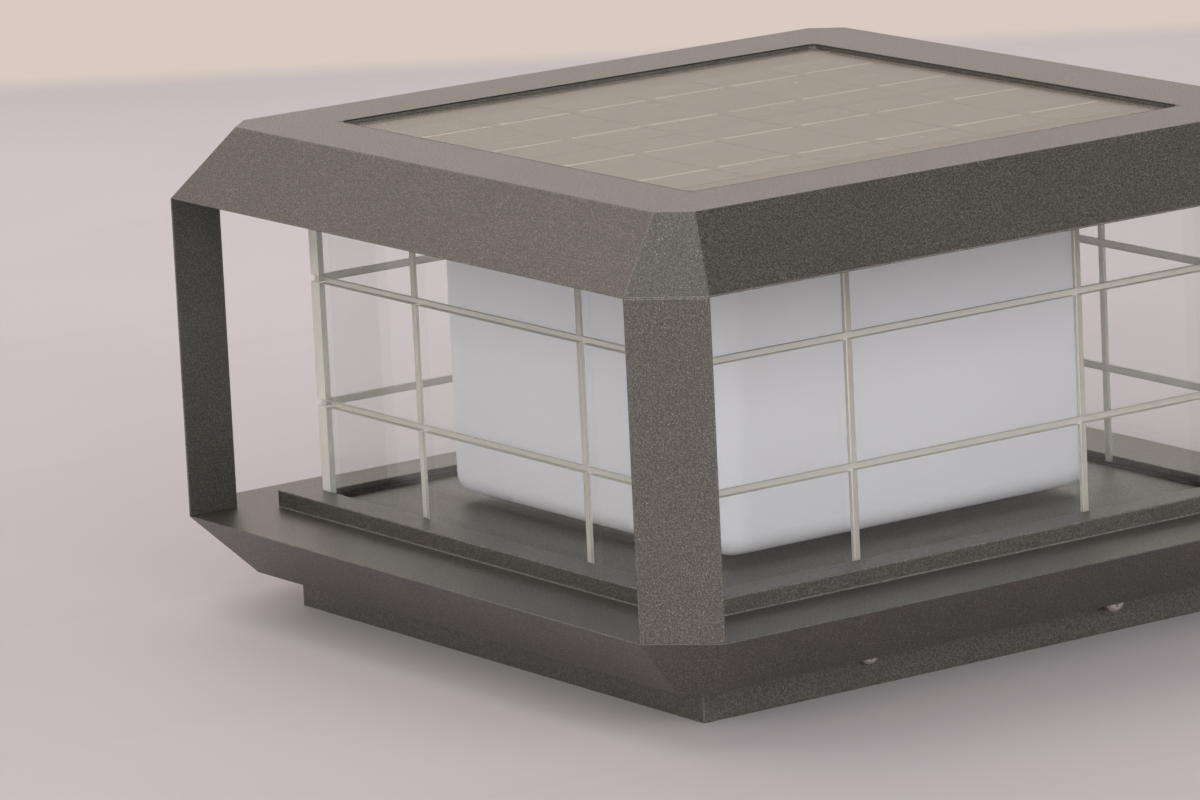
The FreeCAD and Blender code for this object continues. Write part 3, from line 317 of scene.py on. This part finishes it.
def solar_glass():
    """Cover glass with a satin face: hazy reflection, faint streaks, dust and fine scratches."""
    tree = Tree.material("solar_glass")
    streaks = tree.noise(30, 3.0, 0.5, tree.stretched(0.5, 3.0, 1.0))
    dust = tree.cells(85)
    near = tree.span(dust.outputs["Distance"], 0.09, 0.06)
    chosen = tree.span(tree.axes(dust.outputs["Color"])[1], 0.93, 0.95)
    speck = tree.math("MULTIPLY", near, chosen)
    haze = tree.span(streaks, 0.3, 0.7, 0.04, 0.08)
    haze = tree.math("ADD", haze, tree.math("MULTIPLY", speck, 0.7))
    through = tree.node(
        "ShaderNodeBsdfRefraction", {"Color": srgb(250, 252, 251), "Roughness": 0.0, "IOR": GLASS_IOR}
    ).outputs[0]
    rough = tree.span(streaks, 0.3, 0.7, 0.22, 0.28)
    sheen = tree.node("ShaderNodeBsdfGlossy", {"Color": srgb(192, 187, 181), "Roughness": rough})
    fresnel = tree.node("ShaderNodeFresnel", {"IOR": GLASS_IOR}).outputs[0]
    glass = tree.blend_shaders(fresnel, through, sheen.outputs[0])
    film = tree.node("ShaderNodeBsdfDiffuse", {"Color": srgb(205, 198, 188)}).outputs[0]
    glass = tree.blend_shaders(haze, glass, film)
    return tree.done(tree.lets_light_by(glass, (0.93, 0.93, 0.93, 1.0)))


def silicon():
    """Blue-black solar cells with fine printed fingers."""
    tree = Tree.material("silicon")
    along = tree.axes()[0]
    wave = tree.math("SINE", tree.math("MULTIPLY", along, 2 * math.pi / FINGER_PITCH))
    finger = tree.span(wave, 0.90, 0.99, 0.0, 0.22)
    crystal = tree.noise(120, 3.0)
    colour = tree.mix(tree.span(crystal, 0.3, 0.7), srgb(26, 29, 40), srgb(36, 40, 54))
    colour = tree.mix(finger, colour, srgb(120, 122, 128))
    return tree.done(tree.principled(Base_Color=colour, Roughness=0.3, Specular_IOR_Level=0.6))


def circuit(name, tone):
    """Solder mask over copper tracks."""
    tree = Tree.material(name)
    tracks = tree.node(
        "ShaderNodeTexBrick", {"Vector": tree.coordinate, "Scale": 160.0, "Mortar Size": 0.03}
    ).outputs["Fac"]
    colour = tree.mix(tracks, tone, scaled(tone, 1.35))
    normal = tree.bump(tracks, 0.2, 0.0001)
    return tree.done(tree.principled(Base_Color=colour, Roughness=0.35, Normal=normal))


def satin_sheet(name, tone, roughness):
    """Film or sheet with a faint drawn grain."""
    tree = Tree.material(name)
    grain = tree.noise(500, 3.0, 0.6, tree.stretched(1.0, 8.0, 1.0))
    colour = tree.mix(tree.span(grain, 0.3, 0.7), tone, scaled(tone, 0.9))
    rough = tree.span(grain, 0.3, 0.7, roughness * 0.9, roughness * 1.1)
    return tree.done(tree.principled(Base_Color=colour, Roughness=rough))


COAT_TONES = (srgb(14, 13, 12), srgb(82, 77, 70), srgb(226, 220, 210))
COAT = powder_coat("powder_coat", *COAT_TONES)
# The cap's coat carries the painted shade band round the solar recess.
CAP_COAT = powder_coat("cap_powder_coat", *COAT_TONES, lip=True)
INNER = powder_coat("inner_sheet", srgb(56, 54, 50), srgb(72, 70, 65), srgb(130, 127, 120))
STAINLESS = plain_metal("stainless", srgb(214, 208, 202), 0.28)
ZINC = plain_metal("zinc_steel", srgb(196, 198, 200), 0.35)
ALUMINIUM = plain_metal("bare_aluminium", srgb(205, 207, 209), 0.38, streak=(1.0, 12.0, 1.0))
TINNED = plain_metal("tinned_copper", srgb(250, 243, 230), 0.5, radius=0.05, metallic=0.55)
RUBBER = moulded("seal_rubber", srgb(38, 38, 38), 0.7)
BUTTON = moulded("button_rubber", srgb(58, 57, 55), 0.6)
BLACK_PLASTIC = moulded("black_plastic", srgb(42, 42, 43), 0.42)
WHITE_PLASTIC = moulded("white_plastic", srgb(226, 226, 224), 0.4)
SLEEVE = moulded("battery_sleeve", srgb(70, 108, 132), 0.3, grain=300, depth=0.04)
LEAD = moulded("lead_sheath", srgb(46, 46, 47), 0.5)
TAPE = moulded("sealing_tape", srgb(52, 52, 51), 0.75)
PARTS = moulded("board_parts", srgb(60, 60, 62), 0.4)
PHOSPHOR = moulded("led_phosphor", srgb(238, 214, 120), 0.35, grain=3000)
BACKSHEET = satin_sheet("backsheet", srgb(60, 60, 60), 0.5)
LED_WHITE = circuit("led_board_white", srgb(232, 232, 228))
BOARD = circuit("circuit_board", srgb(28, 84, 54))
GLASS = solar_glass()
CELLS = silicon()
MILK = milk_diffuser()
ACRYLIC_X = clear_acrylic("clear_acrylic_x", 0)
ACRYLIC_Y = clear_acrylic("clear_acrylic_y", 1)

FINISH = {
    "base_tray": COAT,
    "mounting_collar": COAT,
    "top_cap": CAP_COAT,
    "cap_plate": INNER,
    "flange_screws": ZINC,
    "plate_screws": STAINLESS,
    "chassis_screws": STAINLESS,
    "box_screws": ZINC,
    "box_gasket_lower": RUBBER,
    "box_gasket_upper": RUBBER,
    "diffuser": MILK,
    "diffuser_gasket": RUBBER,
    "chassis_plate": ALUMINIUM,
    "solar_tape": TAPE,
    "solar_backsheet": BACKSHEET,
    "solar_cells": CELLS,
    "cell_ribbons": TINNED,
    "solar_glass": GLASS,
    "control_box": WHITE_PLASTIC,
    "battery_holder": BLACK_PLASTIC,
    "battery_cells": SLEEVE,
    "driver_board": BOARD,
    "driver_parts": PARTS,
    "led_board": LED_WHITE,
    "led_chips": PHOSPHOR,
    "solar_lead": LEAD,
    "switch_lead": LEAD,
    "led_lead": LEAD,
    "lead_grommets": RUBBER,
    "switch_housing": BLACK_PLASTIC,
    "switch_nut": ZINC,
    "switch_button": BUTTON,
    "clear_panel_front": ACRYLIC_Y,
    "clear_panel_rear": ACRYLIC_Y,
    "clear_panel_left": ACRYLIC_X,
    "clear_panel_right": ACRYLIC_X,
}
for number in range(1, 5):
    FINISH[f"corner_post_{number}"] = COAT
    FINISH[f"clamp_insert_{number}"] = ZINC
    FINISH[f"clamp_screw_{number}"] = STAINLESS

for name, node in NODES.items():
    node.data.materials.clear()
    node.data.materials.append(FINISH[name])


# ---------------------------------------------------------------------------------------------
# Small pieces the source leaves to the looks
# ---------------------------------------------------------------------------------------------


def finish_piece(mesh, name, material):
    data = bpy.data.meshes.new(name)
    mesh.to_mesh(data)
    mesh.free()
    piece = bpy.data.objects.new(name, data)
    bpy.context.scene.collection.objects.link(piece)
    data.materials.append(material)
    for face in data.polygons:
        face.use_smooth = True
    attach(piece, "lamp")
    return piece


def ribbon_ends():
    """Middle of each ribbon's end nearest -X, read from the ribbons themselves."""
    points = {}
    for vertex in NODES["cell_ribbons"].data.vertices:
        points.setdefault(round(vertex.co.y, 5), set()).add(round(vertex.co.x, 5))
    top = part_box("cell_ribbons")[1].z
    lines = sorted(points)
    ends = []
    for first, second in zip(lines[::2], lines[1::2]):
        for x in sorted(points[first])[::2]:
            ends.append((x, (first + second) / 2, top))
    return ends


def solder_dots():
    """A low bead of solder where each ribbon starts on its cell."""
    mesh = bmesh.new()
    for number, place in enumerate(ribbon_ends()):
        size = 0.95 + 0.25 * math.sin(number * 2.4)
        radii = (1.5 * size * MM, 1.2 * size * MM, 0.22 * MM, 1.0)
        matrix = Matrix.Translation(place) @ Matrix.Diagonal(radii)
        bmesh.ops.create_uvsphere(mesh, u_segments=14, v_segments=8, radius=1.0, matrix=matrix)
    return finish_piece(mesh, "solder_dots", TINNED)


solder_dots()


# ---------------------------------------------------------------------------------------------
# Stage, light and camera
# ---------------------------------------------------------------------------------------------


ROOM_LIGHT = 0.74
BAND_LIGHT = 2.3
KEY_POWER = 6.0
BACK_POWER = 1.5
KEY_COLOUR = (1.0, 0.97, 0.93)
# The camera's heading over the floor, how far along it the table ends, and the floor's reach
AHEAD = Vector((0.573, 0.819, 0.0)).normalized()
TABLE_REACH = 1.19
FLOOR_REACH = 6.0
# The photo's camera, solved from points and edges of the light
CAMERA_PLACE = (-1.4553, -1.9805, 0.5886)
CAMERA_AHEAD = (0.56122, 0.80174, -0.20552)
CAMERA_UP = (0.15758, 0.14026, 0.97749)
CAMERA_LENS = 223.9


def stage_material():
    """Pale table whose far end gives way to a cream floor. It is clear from below."""
    tree = Tree.material("stage")
    cloud = tree.noise(3.0, 3.0)
    fibre = tree.noise(14, 5.0, 0.6, tree.stretched(0.25, 3.0, 1.0))
    table = tree.mix(tree.span(cloud, 0.3, 0.7), srgb(201, 194, 197), srgb(194, 188, 192))
    table = tree.mix(tree.span(fibre, 0.55, 0.8, 0.0, 0.16), table, srgb(176, 170, 174))
    edge = tree.span(tree.dot(tree.coordinate, AHEAD), TABLE_REACH - 0.05, TABLE_REACH)
    lit = tree.principled(Base_Color=table, Roughness=0.7, Specular_IOR_Level=0.25)
    cream = tree.node("ShaderNodeEmission", {"Color": srgb(217, 203, 194), "Strength": 1.0})
    surface = tree.blend_shaders(edge, lit, cream.outputs[0])
    below = tree.node("ShaderNodeNewGeometry").outputs["Backfacing"]
    return tree.done(tree.blend_shaders(below, surface, tree.clear()))


def make_stage():
    """A wide level floor."""
    mesh = bmesh.new()
    corners = ((-1, -1), (1, -1), (1, 1), (-1, 1))
    mesh.faces.new([mesh.verts.new((x * FLOOR_REACH, y * FLOOR_REACH, 0.0)) for x, y in corners])
    data = bpy.data.meshes.new("floor")
    mesh.to_mesh(data)
    mesh.free()
    floor = bpy.data.objects.new("floor", data)
    bpy.context.scene.collection.objects.link(floor)
    data.materials.append(stage_material())


def make_world():
    """Soft room light: dim above on the right, with a bright band in front, and warm behind."""
    world = bpy.data.worlds.new("room")
    bpy.context.scene.world = world
    tree = Tree(world, "ShaderNodeOutputWorld", "Generated")

    def toward(direction, *limits):
        return tree.span(tree.dot(tree.coordinate, direction), *limits, curve="SMOOTHSTEP")

    up = (0.0, 0.0, 1.0)
    rise = toward(up, 0.0, 0.30, 0.15, 1.0)
    band = tree.math("MULTIPLY", rise, toward(up, 0.36, 0.80, BAND_LIGHT, 0.0))
    in_front = toward((-0.45, -0.89, 0.0), -0.3, 0.8, 0.10, 1.0)
    room = toward((0.50, -0.35, 0.79), 0.3, 0.95, ROOM_LIGHT, ROOM_LIGHT * 0.3)
    strength = tree.math("ADD", room, tree.math("MULTIPLY", band, in_front))
    behind = toward(AHEAD, -0.1, 0.35, 0.0, 1.0)
    colour = tree.mix(behind, (1.0, 0.985, 0.975, 1.0), (0.87, 0.765, 0.70, 1.0))
    background = tree.node("ShaderNodeBackground", {"Color": colour, "Strength": strength})
    tree.done(background.outputs[0])


def area_lamp(name, place, target, size, power, colour):
    lamp = bpy.data.lights.new(name, "AREA")
    lamp.shape = "RECTANGLE"
    lamp.size, lamp.size_y = size
    lamp.energy = power
    lamp.color = colour
    holder = bpy.data.objects.new(name, lamp)
    bpy.context.scene.collection.objects.link(holder)
    holder.location = place
    holder.rotation_euler = (Vector(target) - Vector(place)).to_track_quat("-Z", "Y").to_euler()


def make_camera():
    """Stands where the photo was taken from, with its long lens and slight roll."""
    camera = bpy.data.cameras.new("camera")
    camera.sensor_width = 36.0
    camera.lens = CAMERA_LENS
    camera.clip_start, camera.clip_end = 0.05, 50.0
    holder = bpy.data.objects.new("camera", camera)
    bpy.context.scene.collection.objects.link(holder)
    ahead = Vector(CAMERA_AHEAD).normalized()
    right = ahead.cross(Vector(CAMERA_UP)).normalized()
    up = right.cross(ahead).normalized()
    turn = Matrix((right, up, -ahead)).transposed().to_4x4()
    holder.matrix_world = Matrix.Translation(CAMERA_PLACE) @ turn
    bpy.context.scene.camera = holder


def make_lamps():
    """A large soft lamp over the light and a low wide one behind it."""
    back_place = AHEAD * 1.05 + Vector((0.0, 0.0, 0.62))
    area_lamp("key", (-0.35, 0.45, 1.5), (0.0, 0.0, 0.08), (1.1, 1.1), KEY_POWER, KEY_COLOUR)
    area_lamp("back", back_place, (0.0, 0.0, 0.1), (1.7, 0.6), BACK_POWER, KEY_COLOUR)


make_stage()
make_world()
make_lamps()
make_camera()
bpy.context.scene.view_settings.view_transform = "Standard"
